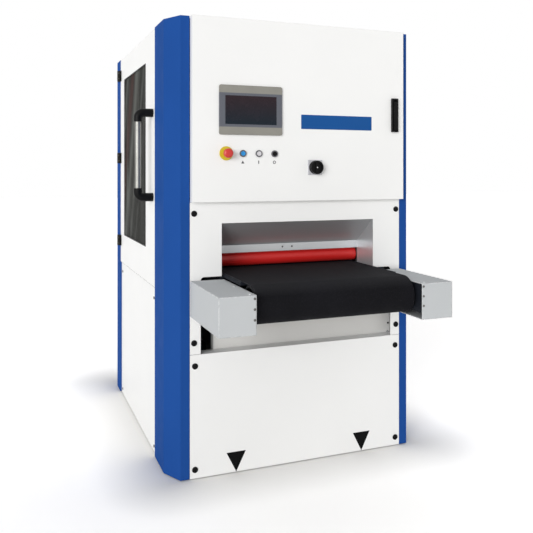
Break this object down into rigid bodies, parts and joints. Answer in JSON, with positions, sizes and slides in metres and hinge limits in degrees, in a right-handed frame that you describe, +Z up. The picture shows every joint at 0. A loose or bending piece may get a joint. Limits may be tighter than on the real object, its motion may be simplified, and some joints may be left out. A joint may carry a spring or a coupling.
{
  "type": "wide belt sander",
  "caption": "Floor-standing wide belt sander with a lifting feed belt table, infeed hood and safety flap, control door with touch panel, and a windowed side door for belt changes.",
  "frame": {"origin": "on the floor, at the centre of the anchor hole pattern", "axes": "+Z up, +Y along the feed from infeed to outfeed, +X to the right seen from the infeed side"},
  "size_m": [1.2915, 2.3, 1.96],
  "materials": {
    "white_paint": "satin powder coat",
    "blue_paint": "satin powder coat",
    "grey_paint": "satin powder coat",
    "frame_paint": "matte primer",
    "red_paint": "satin powder coat",
    "machine_steel": "ground",
    "drum_rubber": "matte",
    "belt_rubber": "matte",
    "abrasive": "grit",
    "motor_paint": "painted casting",
    "switchgear_plastic": "matte",
    "black_plastic": "matte",
    "panel_plastic": "fine texture",
    "screen_glass": "gloss",
    "yellow_plastic": "gloss",
    "red_plastic": "gloss",
    "chrome_ring": "polished",
    "blue_plastic": "gloss",
    "light_plastic": "gloss",
    "grey_plastic": "matte",
    "window_pane": "tinted",
    "handle_alu": "anodised"
  },
  "bodies": {
    "machine": {"base_side_beams": "frame_paint", "base_cross_bars": "frame_paint", "frame_posts": "frame_paint", "corner_columns": "blue_paint", "roof_panel": "white_paint", "front_middle_panel": "white_paint", "front_lower_panel": "white_paint", "rear_upper_panel": "white_paint", "rear_lower_panel": "white_paint", "side_lower_panels": "white_paint", "right_upper_panel": "white_paint", "panel_screws": "black_plastic", "infeed_hood": "grey_paint", "outfeed_hood": "grey_paint", "cabinet_shell": "grey_paint", "switchgear": "switchgear_plastic", "control_hinges": "frame_paint", "side_hinge_blocks": "black_plastic", "dust_spigot": "grey_paint", "bearing_wall": "motor_paint", "head_beam": "motor_paint", "tension_yoke": "machine_steel", "abrasive_belt": "abrasive", "main_motor": "motor_paint", "drive_belt": "belt_rubber", "pressure_brackets": "machine_steel", "screw_jacks": "motor_paint"},
    "table": {"table_beams": "frame_paint", "table_bed": "machine_steel", "feed_belt": "belt_rubber", "feed_gearmotor": "motor_paint", "apron_plates": "white_paint", "table_covers": "grey_paint", "lift_screws": "machine_steel"},
    "idler_roller": {"idler_roller": "machine_steel"},
    "drive_roller": {"drive_roller": "machine_steel"},
    "contact_drum": {"contact_drum": "drum_rubber"},
    "tension_roller": {"tension_roller": "machine_steel"},
    "motor_pulley": {"motor_pulley": "machine_steel"},
    "pressure_roller_front": {"pressure_roller_front": "drum_rubber"},
    "pressure_roller_rear": {"pressure_roller_rear": "drum_rubber"},
    "safety_flap": {"safety_flap": "red_paint"},
    "control_door": {"control_door": "white_paint", "touch_panel": "panel_plastic", "touch_screen": "screen_glass", "estop_collar": "yellow_plastic", "button_bezels": "chrome_ring", "isolator_plate": "grey_plastic", "latch_housing": "black_plastic"},
    "estop_button": {"estop_button": "red_plastic"},
    "reset_button": {"reset_button": "blue_plastic"},
    "start_button": {"start_button": "light_plastic"},
    "stop_button": {"stop_button": "black_plastic"},
    "isolator_knob": {"isolator_knob": "black_plastic"},
    "latch_lever": {"latch_lever": "black_plastic"},
    "side_door": {"side_door": "white_paint", "side_window": "window_pane", "handle_elbows": "black_plastic", "handle_tube": "handle_alu", "side_hinge_leaves": "black_plastic"}
  },
  "joints": [
    {"name": "table_lift", "type": "slide", "parent": "machine", "child": "table", "axis": [0, 0, 1], "range_m": [-0.15, 0]},
    {"name": "drive_roller_spin", "type": "hinge", "parent": "table", "child": "drive_roller", "pos_m": [0, 1.038, 0.784], "axis": [1, 0, 0], "continuous": true},
    {"name": "idler_roller_spin", "type": "hinge", "parent": "table", "child": "idler_roller", "pos_m": [0, -1.038, 0.784], "axis": [1, 0, 0], "continuous": true},
    {"name": "contact_drum_spin", "type": "hinge", "parent": "machine", "child": "contact_drum", "pos_m": [0, 0.11, 0.9483], "axis": [1, 0, 0], "continuous": true},
    {"name": "tension_roller_spin", "type": "hinge", "parent": "machine", "child": "tension_roller", "pos_m": [0, 0.11, 1.6787], "axis": [1, 0, 0], "continuous": true},
    {"name": "motor_pulley_spin", "type": "hinge", "parent": "machine", "child": "motor_pulley", "pos_m": [0, 0.36, 1.2483], "axis": [1, 0, 0], "continuous": true},
    {"name": "pressure_front_spin", "type": "hinge", "parent": "machine", "child": "pressure_roller_front", "pos_m": [0, -0.02, 0.891], "axis": [1, 0, 0], "continuous": true},
    {"name": "pressure_rear_spin", "type": "hinge", "parent": "machine", "child": "pressure_roller_rear", "pos_m": [0, 0.24, 0.891], "axis": [1, 0, 0], "continuous": true},
    {"name": "safety_flap_swing", "type": "hinge", "parent": "machine", "child": "safety_flap", "pos_m": [0, -0.561, 0.944], "axis": [1, 0, 0], "range_deg": [0, 20]},
    {"name": "control_door_hinge", "type": "hinge", "parent": "machine", "child": "control_door", "pos_m": [-0.5035, -0.751, 1.5], "axis": [0, 0, -1], "range_deg": [0, 95]},
    {"name": "side_door_hinge", "type": "hinge", "parent": "machine", "child": "side_door", "pos_m": [-0.612, 0.525, 1.3815], "axis": [0, 0, -1], "range_deg": [0, 110]},
    {"name": "estop_press", "type": "slide", "parent": "control_door", "child": "estop_button", "axis": [0, 1, 0], "range_m": [0, 0.004], "stiffness_N_per_m": 4000, "springref_m": -0.002},
    {"name": "reset_press", "type": "slide", "parent": "control_door", "child": "reset_button", "axis": [0, 1, 0], "range_m": [0, 0.003], "stiffness_N_per_m": 1500, "springref_m": -0.002},
    {"name": "start_press", "type": "slide", "parent": "control_door", "child": "start_button", "axis": [0, 1, 0], "range_m": [0, 0.003], "stiffness_N_per_m": 1500, "springref_m": -0.002},
    {"name": "stop_press", "type": "slide", "parent": "control_door", "child": "stop_button", "axis": [0, 1, 0], "range_m": [0, 0.003], "stiffness_N_per_m": 1500, "springref_m": -0.002},
    {"name": "isolator_turn", "type": "hinge", "parent": "control_door", "child": "isolator_knob", "pos_m": [0.051, -0.7765, 1.321], "axis": [0, 1, 0], "range_deg": [0, 90]},
    {"name": "latch_lift", "type": "hinge", "parent": "control_door", "child": "latch_lever", "pos_m": [0.461, -0.7855, 1.6235], "axis": [-1, 0, 0], "range_deg": [0, 40]}
  ],
  "couplings": [
    {"joint": "idler_roller_spin", "follows": "drive_roller_spin", "ratio": 1},
    {"joint": "tension_roller_spin", "follows": "contact_drum_spin", "ratio": 1},
    {"joint": "motor_pulley_spin", "follows": "contact_drum_spin", "ratio": 1}
  ]
}
